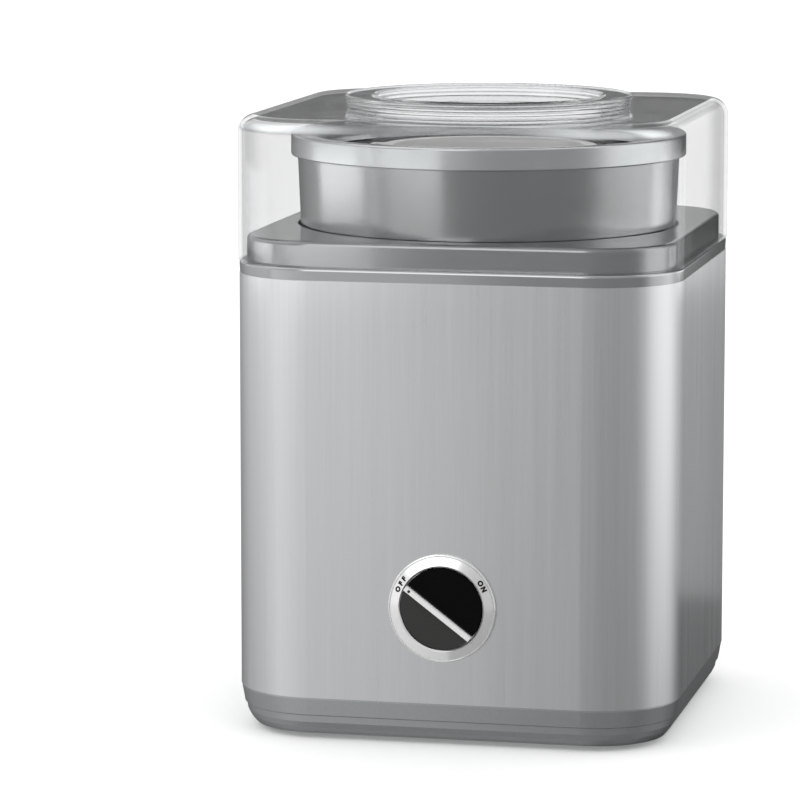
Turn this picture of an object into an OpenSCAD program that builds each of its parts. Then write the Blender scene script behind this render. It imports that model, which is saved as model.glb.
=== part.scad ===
// Ice cream maker: a square steel-wrapped base turns a lift-out double-walled freezer bowl
// under a clear lid that holds the mixing paddle still.
// Millimetres. +Z is up, the dial faces -Y, and the origin is on the table under the bowl's axis.

/* [Body] */
// Side of the square steel body
body_w = 203; // [198:0.5:212]
// Corner radius of the steel body
corner_r = 39; // [34:0.5:44]
// Height of the steel wrap
wrap_h = 189.3; // [186:0.1:198]
// Thickness of the steel sheet
wrap_t = 0.8; // [0.6:0.1:1]
// Depth of the lips that hold the wrap at its top and bottom
lip_h = 6; // [4:0.5:9]
// Wall of the moulded housings
shell_t = 2.5; // [2:0.1:3]

/* [Base] */
// Height of the moulded base band
base_h = 17.5; // [16:0.5:20]
// How far the base draws in between the wrap and the table
base_taper = 6.8; // [4:0.2:8]
// How far the rubber feet stand below the base
foot_h = 2.5; // [2:0.5:4]
// Radius of a rubber foot
foot_r = 9; // [7:0.5:11]
// Distance of a foot from the side of the body
foot_inset = 36; // [34:0.5:40]
// Distance of a screw post from the side of the body
post_inset = 23.5; // [22:0.5:25]
// Height above the table at which the two halves of a screw post meet
post_split = 100; // [85:1:120]

/* [Deck] */
// Height of the trim band over the wrap
trim_h = 5.8; // [4:0.2:8]
// Height of the plinth inside the lid
plinth_h = 11.4; // [8:0.2:14]
// Gap between the lid and the plinth
lid_gap = 2; // [1:0.1:2.6]
// Radial gap between the bowl and its well
bowl_gap = 1.6; // [1:0.1:2.5]
// How far the drive platform's top stands above the well floor
platform_rise = 8; // [7:0.5:10]

/* [Bowl] */
// Gap between the bowl's rim and the lid's wall
rim_gap = 8.8; // [7:0.2:10]
// Height of the rim band
rim_h = 10.2; // [9:0.2:12]
// Height of the bowl's rim above the plinth
bowl_stand = 42.2; // [38:0.2:44]
// How far the rim stands out past the bowl's wall
rim_lip = 3; // [2:0.2:4]
// How far the wall draws in between rim and foot, on the radius
bowl_taper = 6; // [3:0.5:8]
// Space between the inner and the outer wall, for the freezing liquid
jacket = 10; // [8:0.5:12]
// Wall of the inner and of the outer bowl
bowl_t = 1.2; // [0.8:0.1:1.6]
// Height of the space under the inner bowl
floor_space = 17; // [16:0.5:20]

/* [Lid] */
// Height of the lid from its edge to its flat top
lid_h = 65.5; // [63:0.5:70]
// How far the lid stands out past the body on each side
lid_proud = 0.5; // [0:0.1:1]
// Wall of the clear lid
lid_t = 2; // [1.6:0.1:2.6]
// Radius of the lid's top edges
lid_edge_r = 8; // [6:0.5:10]
// Radius of the ingredient spout
spout_r = 52; // [48:0.5:54]
// Outer radius of the raised ring round the spout
ring_r = 66.5; // [63:0.5:70]
// Height of the raised ring
ring_h = 5.5; // [4:0.5:7]
// How far each bead stands out past the one below it
bead_lean = 0.6; // [0.2:0.1:0.8]
// How deep the ring's flat top lies between its two lips
ring_dish = 0.6; // [0.3:0.1:0.9]
// Number of beads round the side of the ring
ring_beads = 3; // [2:1:4]
// Depth of the collar under the lid's top
collar_depth = 24; // [20:0.5:26]
// Wall of the collar
collar_t = 2.4; // [2:0.1:3]

/* [Paddle] */
// Thickness of the paddle's blade
blade_t = 3.2; // [2.5:0.1:4]
// Width of the paddle's side arms
arm_w = 15; // [12:0.5:18]
// Height of the paddle's bottom bar
bar_h = 14; // [10:0.5:18]
// Height of the paddle's ring
hub_h = 11; // [9:0.5:13]
// Width of a paddle lug
lug_w = 9.2; // [7:0.2:11]

/* [Dial] */
// Height of the dial's centre above the table
dial_z = 63.8; // [60:0.1:66]
// Outer radius of the bright bezel
bezel_r = 24.5; // [23:0.5:26]
// Radius of the dark dial
dial_r = 18.4; // [17.5:0.1:19.5]
// Width of the bright bar across the dial
grip_w = 2.7; // [2.5:0.1:4]
// How far the bar lies off the dial's middle
grip_off = 2; // [0:0.5:3]
// How far the bar stands out from the body
grip_reach = 6; // [5:0.5:7]
// Direction of the bar at OFF, in degrees from the right-hand side
off_angle = 143; // [140:1:155]

/* [Gear train] */
// Teeth on each pinion
pinion_teeth = 12; // [12:1:13]
// Teeth on the two idler wheels
idler_teeth = 48; // [46:1:48]
// Teeth on the output gear
output_teeth = 54; // [52:1:54]
// Module of the two fast stages
fast_module = 1; // [0.95:0.05:1]
// Module of the output stage
slow_module = 1.25; // [1.2:0.05:1.25]
// Face width of the fast wheels
wheel_t = 6; // [5:0.5:7]
// Face width of the output gear
output_t = 7; // [6:0.5:8]
// Clear space between gears that pass each other
gear_gap = 1.5; // [1:0.1:2]
// Play between meshing teeth, on the pitch circle
backlash = 0.12; // [0.08:0.01:0.2]
// Wall of the gearbox
gearbox_t = 3; // [2.5:0.1:3.5]

/* [Motor] */
// Side of the stator's plates, across the rotor
stator_w = 64; // [60:1:68]
// Height of the stator's stack of plates
stack_h = 22; // [18:1:24]
// Radius of the rotor
rotor_r = 14.5; // [13:0.5:16]
// Air gap round the rotor
air_gap = 0.5; // [0.4:0.1:0.8]
// Height of the spacers between stack and bearing brackets
spacer_h = 4.5; // [4:0.5:6]
// Thickness of a bearing bracket
bracket_t = 3; // [2.5:0.5:3.5]
// Height of the cooling fan
fan_h = 8; // [6:0.5:9]
// Space between the cooling fan and the lower bearing bracket
fan_gap = 2; // [1.5:0.1:3]
// Space for air between the base's floor and the fan
fan_room = 10.7; // [9:0.1:14]
// Radius of the motor shaft
motor_shaft_r = 2.5; // [2:0.1:2.8]

/* [Cord inlet] */
// Radius of the hole for the mains cord
cord_hole_r = 3.6; // [3:0.1:4]
// How far the gland stands out at the back
gland_reach = 3; // [2:0.5:3.5]

/* [Hidden] */
$fn = 72;
fine = 24;  // facets of small round pieces

// Clearances between pieces
slip = 0.15;     // round fastened pieces
running = 0.03;  // shafts in their bushes
clear_gap = 0.4; // pieces that move past each other
eps = 0.01;      // overcut of a hole past its faces

// Levels, from the table up
base_z = foot_h;
wrap_z = base_z + base_h;
deck_z = wrap_z + wrap_h;
ledge_z = deck_z + trim_h;
plinth_z = ledge_z + plinth_h;
lid_top_z = ledge_z + lid_h;
ring_top_z = lid_top_z + ring_h;
rim_z = plinth_z + bowl_stand;
fan_z = base_z + shell_t + fan_room;
lower_bracket_z = fan_z + fan_h + fan_gap;
stack_z = lower_bracket_z + bracket_t + spacer_h;
stack_top = stack_z + stack_h;
upper_bracket_z = stack_top + spacer_h;
gear_bottom = upper_bracket_z + bracket_t;
level_1 = gear_bottom + gearbox_t + gear_gap;
level_2 = level_1 + wheel_t + gear_gap;
level_3 = level_2 + wheel_t + gear_gap;
tray_top = level_3 + output_t + gear_gap;
gearbox_top = tray_top + gearbox_t;
floor_t = 3;
boss_drop = 6;
well_z = gearbox_top + boss_drop + floor_t;
bowl_z = well_z + platform_rise;
bowl_h = rim_z - bowl_z;

// Plan sizes
lid_w = body_w + 2 * lid_proud;
rim_r = lid_w / 2 - lid_t - rim_gap;
lid_corner_r = corner_r + lid_proud;
plinth_in = lid_t + lid_gap - lid_proud;
notch_h = 8;
snap_r = 0.6;
lip_in = wrap_t + slip;
lip_t = 1.8;
pan_step = [2.4, 1.6];  // inset under and over the base band's step
step_z = base_h * 0.51;

// Bowl
wall_top_r = rim_r - rim_lip;
wall_foot_r = wall_top_r - bowl_taper;
well_top_r = wall_top_r - bowl_taper * bowl_stand / bowl_h + bowl_gap;
well_foot_r = wall_foot_r + bowl_gap + 1.5;
well_t = 2;
seat_drop = 8.2;   // from the rim's top to its seat on the inner bowl
gasket_t = 0.8;
liner_top_z = rim_z - seat_drop - gasket_t;
liner_top_r = wall_top_r - bowl_t - jacket + 0.2;
liner_foot_r = liner_top_r - bowl_taper + 1;
liner_z = bowl_z + floor_space;
liner_floor_z = liner_z + bowl_t;
bowl_corner = 9;
shell_top_z = rim_z - seat_drop - slip;
coolant_z = liner_top_z - 6;

// Drive coupling and bowl socket
lobes = 6;
lobe_r = 13;
lobe_dip = 2.6;
spindle_h = 12;
platform_r = 26;
platform_t = 3;
seal_h = 1.6;
seal_z = bowl_z - platform_t - clear_gap - seal_h;
socket_r = 31;
socket_t = 2.2;
socket_lap = 4;
screw_r = 2;
head_r = 3.8;
head_h = 2.6;

// Gear train, from the output shaft to the motor
pressure_angle = 20;
shift = 0.3;
gear_slack = 2;
slow_centres = slow_module * (output_teeth + pinion_teeth) / 2;
fast_centres = fast_module * (idler_teeth + pinion_teeth) / 2;
second_dir = 160;
first_dir = 60;
motor_dir = -10;
second_at = slow_centres * [cos(second_dir), sin(second_dir)];
first_at = second_at + fast_centres * [cos(first_dir), sin(first_dir)];
motor_at = first_at + fast_centres * [cos(motor_dir), sin(motor_dir)];
second_phase = mesh_phase(output_teeth, 0, pinion_teeth, second_dir);
first_phase = mesh_phase(idler_teeth, second_phase, pinion_teeth, first_dir);
motor_phase = mesh_phase(idler_teeth, first_phase, pinion_teeth, motor_dir);
pin_r = 2;
bush_hex_r = 4;
shaft_r = 5;
bush_wall = 2;
bush_h = gearbox_t + 4;
shaft_top = bowl_z + 5.9;
output_room = slow_module * (output_teeth / 2 + 1) + gear_slack;
idler_room = fast_module * (idler_teeth / 2 + 1) + gear_slack;
motor_room = fast_module * (pinion_teeth / 2 + 1) + gear_slack;
lug_r = 5;
lug_h = 8;
screw_bite = 7;
ear_r = 6;

// Motor
bolt_x = stator_w / 2 - 6;
pole_half = stator_w / 2 - 5;
window = [40, 18];
leg_w = 14;
leg_y = -(pole_half - 4) - window.y;
coil_wall = 6;
bobbin_t = 1.5;
fan_r = bolt_x - head_r - 2 * clear_gap;

// Dial and switch, along the dial's axis, from the face of the wrap
bezel_h = 2.6;
bezel_lip = 0.6;
cup_r = dial_r + clear_gap;
cup_wall = 1.9;
cup_floor = -6;
cup_floor_t = 1.6;
neck_r = 5;
neck_end = -2;
spindle_r = 3;
spindle_end = 3;
dial_low = -1.4;
dial_edge = 1.4;
dial_ridge = 4.2;
grip_over = 1.1;
slot_depth = 1.4;
switch_w = 30;
switch_deep = 16;
bracket_sheet = 1.2;

// Cord gland
gland_z = base_z + base_h / 2 + 0.3;
gland_flange_r = cord_hole_r + 3.2;
gland_neck_r = cord_hole_r + 1.6;
pad_face = body_w / 2 - 0.5;
pad_deep = base_taper + shell_t;

corner_posts = [for (x = [-1, 1], y = [-1, 1]) [x, y] * (body_w / 2 - post_inset)];
foot_spots = [for (x = [-1, 1], y = [-1, 1]) [x, y] * (body_w / 2 - foot_inset)];
gearbox_lugs = [
    for (a = [250, 330]) (output_room + gearbox_t + lug_r - 1) * [cos(a), sin(a)],
    second_at + (idler_room + gearbox_t + lug_r - 1) * [cos(190), sin(190)],
    first_at + (idler_room + gearbox_t + lug_r - 1) * [cos(80), sin(80)],
];

// ---------- shapes that several pieces share ----------

// Angles in degrees at which an arc from a to b is drawn
function arc_steps(a, b, n) = [for (i = [0:n]) a + (b - a) * i / n];

// Points of an arc round centre c
function arc(c, r, a, b, n = 5) = [for (t = arc_steps(a, b, n)) c + r * [cos(t), sin(t)]];

// Square of side w with corners of radius r
module rounded_square(w, r) {
    square([w, w - 2 * r], center = true);
    square([w - 2 * r, w], center = true);
    for (x = [-1, 1], y = [-1, 1])
        translate([x, y] * (w / 2 - r)) circle(r);
}

// Carries a profile round a rounded square. The profile's x is measured from the corner's centre.
module around_square(w, r) {
    run = w - 2 * r;
    for (a = [0:90:270]) rotate(a) translate([run / 2, run / 2, 0]) {
        rotate_extrude(angle = 90) children();
        rotate([90, 0, 0]) linear_extrude(run) children();
    }
}

// The middle square that around_square leaves open
module middle_slab(w, r, z, t) {
    run = w - 2 * r;
    translate([-run / 2, -run / 2, z]) cube([run, run, t]);
}

// Plate whose outline lies in from the body's by inset
module body_plate(inset, z, h) {
    translate([0, 0, z]) linear_extrude(h) rounded_square(body_w - 2 * inset, corner_r - inset);
}

// Round hole or post at each place of a list
module at_each(places, z) {
    for (p = places) translate([p.x, p.y, z]) children();
}

// Machine screw with its head down and its shank pointing up
module screw_up(length, r = screw_r, head = head_r) {
    cylinder(r = r, h = length, $fn = fine);
    translate([0, 0, -head_h]) difference() {
        cylinder(r1 = head - 0.6, r2 = head, h = head_h, $fn = fine);
        translate([0, 0, -eps]) for (a = [0, 90]) rotate(a)
            translate([-head * 0.6, -0.4, 0]) cube([head * 1.2, 0.8, 1.2]);
    }
}

// Plain tube
module tube(outer, inner, h) {
    difference() {
        cylinder(r = outer, h = h);
        translate([0, 0, -eps]) cylinder(r = inner, h = h + 2 * eps);
    }
}

// ---------- gears ----------

// Involute of an angle, in degrees
function involute(a) = tan(a) * 180 / PI - a;

// Half the angle that a tooth covers at radius r
function tooth_half(teeth, m, x, r) =
    let (base = m * teeth / 2 * cos(pressure_angle),
         at_pitch = (90 + 2 * x * tan(pressure_angle) * 180 / PI - backlash / m * 90 / PI) / teeth)
    at_pitch + involute(pressure_angle) - involute(acos(min(1, base / r)));

// Point at a flank's radius and angle
function flank(p, t) = p[0] * [cos(t), sin(t)];

// Outline of one tooth, centred on angle a
function tooth(teeth, m, x, a) =
    let (pitch = m * teeth / 2,
         root = pitch - m * (1.25 - x),
         tip = pitch + m * (1 + x) - 0.05,
         start = max(root + 0.05, pitch * cos(pressure_angle)),
         steps = [start, (start + tip) / 2, tip],
         rise = concat([[root, start]], [for (r = steps) [r, r]]))
    concat(
        [for (i = [0:3]) flank(rise[i], a - tooth_half(teeth, m, x, rise[i][1]))],
        [for (i = [3:-1:0]) flank(rise[i], a + tooth_half(teeth, m, x, rise[i][1]))]);

// Direction of a tooth on gear two that puts it in mesh with gear one
function mesh_phase(teeth_1, phase_1, teeth_2, dir) =
    dir + 180 - (180 - teeth_1 * (dir - phase_1)) / teeth_2;

// Spur gear with a six-sided hole
module spur_gear(teeth, m, x, h, phase, hex_r) {
    linear_extrude(h) difference() {
        polygon([for (i = [0:teeth - 1]) each tooth(teeth, m, x, phase + i * 360 / teeth)]);
        circle(hex_r, $fn = 6);
    }
}

// Wheel and pinion moulded in one, the pinion on top
module idler(z, wheel_h, pinion_h, pinion_m, phase) {
    translate([0, 0, z]) {
        spur_gear(idler_teeth, fast_module, -shift, wheel_h, phase, bush_hex_r);
        translate([0, 0, wheel_h - eps])
            spur_gear(pinion_teeth, pinion_m, shift, pinion_h + eps, phase, bush_hex_r);
    }
}

// Six-sided bush that carries an idler on its pin
module idler_bush(z, h) {
    translate([0, 0, z]) difference() {
        cylinder(r = bush_hex_r, h = h, $fn = 6);
        translate([0, 0, -eps]) cylinder(r = pin_r + running, h = h + 2 * eps);
    }
}

// ---------- lid ----------

// Section of the lid's wall and rounded top edge
module lid_section() {
    r = lid_corner_r;
    inner = lid_edge_r - lid_t;
    translate([r - lid_t, 0]) square([lid_t, lid_h - lid_edge_r]);
    translate([r - lid_edge_r, lid_h - lid_edge_r]) intersection() {
        difference() {
            circle(lid_edge_r, $fn = 48);
            circle(inner, $fn = 48);
        }
        square(lid_edge_r);
    }
    translate([0, lid_h - lid_t]) square([r - lid_edge_r, lid_t]);
}

// Section of the spout ring: its collar, a rounded inner lip, a shallow dish on top, beads that
// lean outwards, and under the lid a small bead that snaps the ring into its hole
module ring_section() {
    bead = ring_h / ring_beads;
    lip = collar_t / 2;
    lean = (ring_beads - 1) * bead_lean;
    translate([spout_r, -collar_depth]) square([collar_t, collar_depth + ring_h - lip]);
    translate([spout_r + lip, ring_h - lip]) circle(lip, $fn = fine);
    translate([spout_r + lip, 0])
        square([ring_r - spout_r - lip - bead / 2 - lean, ring_h - ring_dish]);
    for (i = [0:ring_beads - 1])
        translate([ring_r - bead / 2 - (ring_beads - 1 - i) * bead_lean, bead * (i + 0.5)])
            circle(bead / 2, $fn = fine);
    translate([ring_r - bead / 2 - lean - bead, ring_h - bead]) square([bead + lean, bead - ring_dish]);
    translate([spout_r + collar_t - 0.1, -lid_t - snap_r - slip]) circle(snap_r, $fn = fine);
}

module lid() {
    color([0.86, 0.89, 0.91, 0.35]) translate([0, 0, ledge_z]) difference() {
        union() {
            around_square(lid_w, lid_corner_r) lid_section();
            middle_slab(lid_w, lid_corner_r, lid_h - lid_t, lid_t);
        }
        translate([0, 0, lid_h - 2 * lid_t]) cylinder(r = spout_r + collar_t + slip, h = 3 * lid_t);
    }
}

// Ring and collar of the spout. Two notches in its foot hold the paddle's lugs
module spout_ring() {
    notch_w = lug_w + 2 * clear_gap;
    color([0.86, 0.89, 0.91, 0.35]) difference() {
        translate([0, 0, lid_top_z]) rotate_extrude() ring_section();
        translate([-ring_r, -notch_w / 2, lid_top_z - collar_depth - eps])
            cube([2 * ring_r, notch_w, notch_h]);
    }
}

// ---------- mixing paddle ----------

hub_top = lid_top_z - collar_depth + 5.6;
hub_z = hub_top - hub_h;
hub_r = spout_r - 1.6;
hub_wall = 6;
sweep_gap = 1;
blade_z = liner_floor_z + 0.3;
blade_foot_r = liner_foot_r - sweep_gap;
shoulder_drop = 24;
shoulder_z = hub_z - shoulder_drop;
shoulder_r = wall_at(shoulder_z, liner_foot_r, liner_top_r, liner_z, liner_top_z) - sweep_gap;

// Half outline of the blade: bottom corner, scraping edge and shoulder up to the ring
function blade_edge() = concat(
    arc([blade_foot_r - bowl_corner, blade_z + bowl_corner], bowl_corner, -90, 0),
    [[shoulder_r, shoulder_z],
     [hub_r, hub_z - 2],
     [hub_r, hub_z + hub_h / 2]]);

// Outline of the blade: open in the middle, with a scraping arm at each side
module blade_outline() {
    half = blade_edge();
    difference() {
        polygon(concat(half, [for (i = [len(half) - 1:-1:0]) [-half[i].x, half[i].y]]));
        hull() {
            for (s = [-1, 1]) translate([s * (blade_foot_r - arm_w - 12), blade_z + bar_h + 12]) circle(12);
            for (s = [-1, 1]) translate([s * (hub_r - arm_w - 4), shoulder_z]) circle(10);
        }
        translate([0, shoulder_z + 36]) square([2 * (hub_r - hub_wall - 6), 72], center = true);
    }
}

module mixing_paddle() {
    color("white") {
        rotate([90, 0, 0]) translate([0, 0, -blade_t / 2]) linear_extrude(blade_t) blade_outline();
        translate([0, 0, hub_z]) tube(hub_r, hub_r - hub_wall, hub_h);
        for (s = [0, 180]) rotate(s) translate([hub_r - 2, -lug_w / 2, hub_top - 5])
            cube([spout_r + collar_t + 3 - hub_r, lug_w, 5]);
        // Vanes that turn the mix over, set askew on the bottom bar
        for (s = [0, 180]) rotate(s) translate([blade_foot_r * 0.45, 0, blade_z]) rotate(35)
            translate([-13, -blade_t / 2, 0]) cube([26, blade_t, bar_h + 26]);
    }
}

// ---------- freezer bowl ----------

// Radius at height h of a wall that leans from foot, above its rounded corner, to lip
function wall_at(h, foot, lip, z, top) =
    foot + (lip - foot) * (h - z - bowl_corner) / (top - z - bowl_corner);

// Thin cup with a tapering wall and a rounded foot: radii at foot and lip, from z to top
module cup(foot, lip, z, top, t) {
    corner = [foot - bowl_corner, z + bowl_corner];
    rotate_extrude() polygon(concat(
        [[0, z]],
        arc(corner, bowl_corner, -90, 0),
        [[lip, top], [lip - t, top]],
        arc(corner, bowl_corner - t, 0, -90),
        [[0, z + t]]));
}

module bowl_liner() {
    flange_r = wall_top_r - bowl_t - slip;
    color([0.75, 0.76, 0.77]) {
        cup(liner_foot_r + bowl_t, liner_top_r + bowl_t, liner_z, liner_top_z, bowl_t);
        translate([0, 0, liner_top_z - bowl_t]) tube(flange_r, liner_top_r, bowl_t);
    }
}

module bowl_shell() {
    color([0.68, 0.69, 0.7]) difference() {
        cup(wall_foot_r, wall_top_r, bowl_z, shell_top_z, bowl_t);
        translate([0, 0, bowl_z - eps]) cylinder(r = socket_r + slip, h = bowl_t + 2 * eps);
    }
}

module bowl_rim() {
    color([0.68, 0.69, 0.7]) rotate_extrude() polygon(concat(
        [[wall_top_r + slip, rim_z - rim_h]],
        arc([rim_r - 0.6, rim_z - rim_h + 0.6], 0.6, -90, 0, 3),
        arc([rim_r - 1.2, rim_z - 1.2], 1.2, 0, 90),
        arc([rim_r - 5.2, rim_z - 1], 1, 90, 160, 4),
        [[liner_top_r + 1, rim_z - seat_drop + 2],
         [liner_top_r, rim_z - seat_drop],
         [wall_top_r + slip, rim_z - seat_drop]]));
}

module bowl_gasket() {
    color([0.25, 0.25, 0.26]) translate([0, 0, liner_top_z])
        tube(liner_top_r + 6.5, liner_top_r + 2, gasket_t);
}

module bowl_coolant() {
    gap = 0.2;
    outside = wall_at(coolant_z, wall_foot_r, wall_top_r, bowl_z, shell_top_z) - bowl_t - gap;
    color([0.55, 0.75, 0.85]) difference() {
        rotate_extrude() polygon(concat(
            [[0, bowl_z + bowl_t + gap]],
            arc([wall_foot_r - bowl_corner, bowl_z + bowl_corner], bowl_corner - bowl_t - gap, -90, 0),
            [[outside, coolant_z],
             [liner_top_r + bowl_t + gap, coolant_z]],
            arc([liner_foot_r + bowl_t - bowl_corner, liner_z + bowl_corner], bowl_corner + gap, 0, -90),
            [[0, liner_z - gap]]));
        translate([0, 0, bowl_z])
            cylinder(r = socket_r + socket_lap + gap, h = spindle_h + 1 + socket_t + gap);
    }
}

// Star outline of the drive: rounded by its number of lobes alone
module lobed(grow) {
    polygon([for (i = [0:2 * lobes - 1])
        (lobe_r + grow - (i % 2) * lobe_dip) * [cos(i * 180 / lobes), sin(i * 180 / lobes)]]);
}

// Moulded socket that closes the shell's floor and takes the drive's spindle
module bowl_socket() {
    deep = spindle_h + 1;
    color([0.45, 0.46, 0.47]) translate([0, 0, bowl_z]) difference() {
        union() {
            cylinder(r = socket_r, h = bowl_t + socket_t);
            translate([0, 0, bowl_t]) cylinder(r = socket_r + socket_lap, h = socket_t);
            cylinder(r = lobe_r + 4, h = deep + socket_t);
            for (a = [0:60:300]) rotate(a) translate([lobe_r, -0.8, 0])
                cube([socket_r - lobe_r, 1.6, socket_t + 6]);
        }
        translate([0, 0, -eps]) linear_extrude(deep + eps) lobed(clear_gap);
    }
}

// ---------- drive ----------

module drive_coupling() {
    color([0.3, 0.31, 0.32]) difference() {
        union() {
            translate([0, 0, bowl_z - platform_t]) cylinder(r = platform_r, h = platform_t);
            translate([0, 0, well_z + 1]) tube(platform_r, platform_r - 2.5, platform_rise - 2);
            translate([0, 0, bowl_z - eps]) linear_extrude(spindle_h) lobed(0);
        }
        translate([0, 0, bowl_z - platform_t - eps])
            cylinder(r = shaft_r + 0.05, h = platform_t + 6, $fn = 6);
        translate([0, 0, bowl_z]) cylinder(r = screw_r + slip, h = spindle_h + 1);
        translate([0, 0, bowl_z + spindle_h - head_h - 0.4]) cylinder(r = head_r + slip, h = head_h + 1);
    }
}

module coupling_screw() {
    color([0.7, 0.7, 0.7]) translate([0, 0, bowl_z + spindle_h - head_h - 0.4]) rotate([180, 0, 0])
        screw_up(14);
}

module output_shaft() {
    journal_z = level_3 + output_t + gear_gap;
    shoulder_z = gear_bottom + bush_h + 0.2;
    color([0.72, 0.72, 0.74]) difference() {
        union() {
            translate([0, 0, gear_bottom + 0.5]) cylinder(r = shaft_r, h = shoulder_z - gear_bottom);
            translate([0, 0, shoulder_z]) cylinder(r = shaft_r + 2, h = level_3 - shoulder_z);
            translate([0, 0, level_3 - 1]) cylinder(r = shaft_r, h = shaft_top - level_3 + 1, $fn = 6);
            translate([0, 0, journal_z]) cylinder(r = shaft_r, h = bowl_z - platform_t - slip - journal_z);
        }
        translate([0, 0, shaft_top - 12]) cylinder(r = screw_r + 0.05, h = 12 + eps);
    }
}

module output_gear() {
    color([0.93, 0.92, 0.87]) translate([0, 0, level_3])
        spur_gear(output_teeth, slow_module, -shift, output_t, 0, shaft_r + 0.05);
}

module output_clip() {
    color([0.55, 0.56, 0.58]) translate([0, 0, level_3 + output_t + 0.1])
        difference() {
            cylinder(r = shaft_r + 3, h = 1);
            translate([0, 0, -eps]) cylinder(r = shaft_r + 0.1, h = 2);
            translate([0, -2, -eps]) cube([20, 4, 2]);
        }
}

module second_gear() {
    color([0.93, 0.92, 0.87]) translate(second_at)
        idler(level_2, wheel_t, gear_gap + output_t, slow_module, second_phase);
}

module second_bush() {
    color([0.72, 0.55, 0.32]) translate(second_at)
        idler_bush(level_2 - 0.2, wheel_t + gear_gap + output_t + 0.4);
}

module first_gear() {
    color([0.93, 0.92, 0.87]) translate(first_at)
        idler(level_1, wheel_t, gear_gap + wheel_t, fast_module, first_phase);
}

module first_bush() {
    color([0.72, 0.55, 0.32]) translate(first_at) idler_bush(level_1 - 0.2, 2 * wheel_t + gear_gap + 0.4);
}

// ---------- motor: turning pieces ----------

module motor_rotor() {
    ring_h2 = 2.2;
    color([0.62, 0.63, 0.65]) translate([motor_at.x, motor_at.y, stack_z - ring_h2]) difference() {
        union() {
            translate([0, 0, ring_h2]) cylinder(r = rotor_r, h = stack_h);
            cylinder(r = rotor_r - 1, h = stack_h + 2 * ring_h2);
        }
        translate([0, 0, -eps]) cylinder(r = motor_shaft_r + running, h = stack_h + 3 * ring_h2);
    }
}

module motor_shaft() {
    foot = fan_z - 1;
    head = level_1 + wheel_t + 0.5;
    color([0.72, 0.72, 0.74]) translate([motor_at.x, motor_at.y, 0]) {
        translate([0, 0, foot]) cylinder(r = motor_shaft_r, h = gear_bottom + 1 - foot);
        translate([0, 0, gear_bottom]) cylinder(r = motor_shaft_r, h = head - gear_bottom, $fn = 6);
    }
}

module motor_pinion() {
    color([0.78, 0.66, 0.38]) translate([motor_at.x, motor_at.y, level_1 - 0.5])
        spur_gear(pinion_teeth, fast_module, shift, wheel_t + 1, motor_phase, motor_shaft_r + 0.05);
}

module cooling_fan() {
    color([0.2, 0.2, 0.21]) translate([motor_at.x, motor_at.y, fan_z]) {
        difference() {
            union() {
                cylinder(r = 6, h = fan_h);
                translate([0, 0, fan_h - 1.2]) cylinder(r = fan_r, h = 1.2);
                for (a = [0:45:315]) rotate(a) translate([4, 0, 0]) rotate(20)
                    cube([fan_r - 7, 1.2, fan_h - 1]);
            }
            translate([0, 0, -eps]) cylinder(r = motor_shaft_r + running, h = fan_h + 2 * eps);
        }
    }
}

// ---------- dial ----------

// Puts children on the front of the body with their Z pointing outwards
module on_front() {
    translate([0, -body_w / 2, dial_z]) rotate([90, 0, 0]) children();
}

module dial() {
    color([0.03, 0.03, 0.035]) on_front() rotate(off_angle) difference() {
        intersection() {
            translate([0, 0, dial_low]) cylinder(r = dial_r, h = grip_reach);
            rotate([90, 0, 90]) translate([0, 0, -dial_r]) linear_extrude(2 * dial_r)
                polygon([[-dial_r, dial_low], [dial_r, dial_low], [dial_r, dial_edge],
                         [grip_off + grip_w / 2, dial_ridge],
                         [grip_off - grip_w / 2, dial_ridge], [-dial_r, dial_edge]]);
        }
        translate([-dial_r, grip_off - grip_w / 2 - slip / 2, dial_ridge - slot_depth])
            cube([2 * dial_r, grip_w + slip, grip_reach]);
        translate([0, 0, dial_low - eps]) spindle_form(spindle_end + 0.2 - dial_low, slip / 2);
    }
}

// Bright bar in the dial's slot, with a rounded crest
module dial_grip() {
    crest = grip_w / 2 - 0.3;
    color([0.85, 0.86, 0.87]) on_front() rotate(off_angle) difference() {
        intersection() {
            rotate([90, 0, 90]) translate([0, 0, -dial_r]) linear_extrude(2 * dial_r) {
                translate([grip_off - grip_w / 2, dial_ridge - slot_depth])
                    square([grip_w, grip_reach - dial_ridge + slot_depth - 0.8]);
                translate([grip_off - crest, grip_reach - 1]) square([2 * crest, 1]);
            }
            union() {
                translate([0, 0, -dial_r]) cylinder(r = dial_r - 0.1, h = 2 * dial_r);
                translate([0, 0, bezel_h + 0.6]) cylinder(r = dial_r + grip_over, h = dial_r);
            }
        }
        translate([0, 0, 0]) spindle_form(spindle_end + 0.2, slip / 2);
    }
}

// D-shaped spindle end
module spindle_form(h, grow) {
    difference() {
        cylinder(r = spindle_r + grow, h = h);
        translate([-spindle_r - 1, spindle_r - 1.2 + grow, -eps]) cube([2 * spindle_r + 2, 3, h + 1]);
    }
}

module switch_spindle() {
    back = cup_floor - bracket_sheet - switch_deep + 4;
    color([0.78, 0.66, 0.38]) on_front() rotate(off_angle) {
        translate([0, 0, back]) cylinder(r = spindle_r - running, h = neck_end - back);
        translate([0, 0, neck_end]) spindle_form(spindle_end - neck_end, -running);
    }
}

// ---------- base, wrap and deck ----------

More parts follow.
